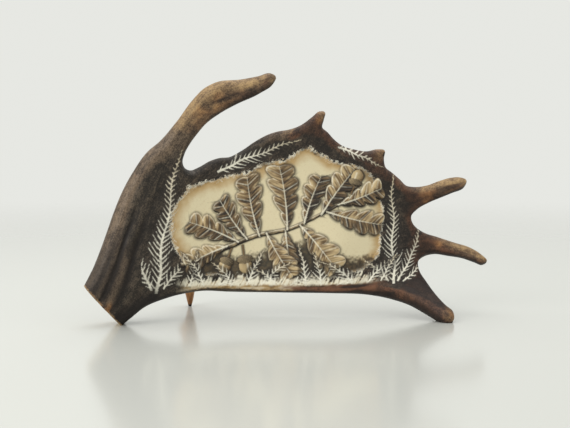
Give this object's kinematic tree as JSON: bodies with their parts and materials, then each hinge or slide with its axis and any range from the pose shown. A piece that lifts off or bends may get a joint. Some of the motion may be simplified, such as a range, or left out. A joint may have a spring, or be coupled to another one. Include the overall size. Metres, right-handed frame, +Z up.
{
  "type": "carved palmate deer antler",
  "caption": "Palmate deer antler with a sawn beam end, a long brow tine, small points and tines, its flat front carved in low relief, standing on three feet of its own.",
  "frame": {"origin": "on the table, under the middle of the bounding box", "axes": "+X to the right from the beam to the tines, +Z up, and the carved front faces -Y"},
  "size_m": [0.4282, 0.1569, 0.259],
  "materials": {
    "grey_brown_antler": "antler: grey brown weathered outer skin with fine lengthwise grain, satin",
    "carved_front": "antler: carved cream and tan field in a stained charcoal margin, satin",
    "dark_red_brown_antler": "antler: dark red brown skin, rubbed lighter along the middle and at the tips, satin",
    "orange_brown_antler": "antler: orange brown, polished by rubbing, satin"
  },
  "bodies": {
    "root": {"beam": "grey_brown_antler", "brow_tine": "grey_brown_antler", "palm": "carved_front", "upper_tine": "dark_red_brown_antler", "middle_tine": "dark_red_brown_antler", "lower_tine": "dark_red_brown_antler", "rear_tine": "orange_brown_antler"}
  },
  "joints": []
}
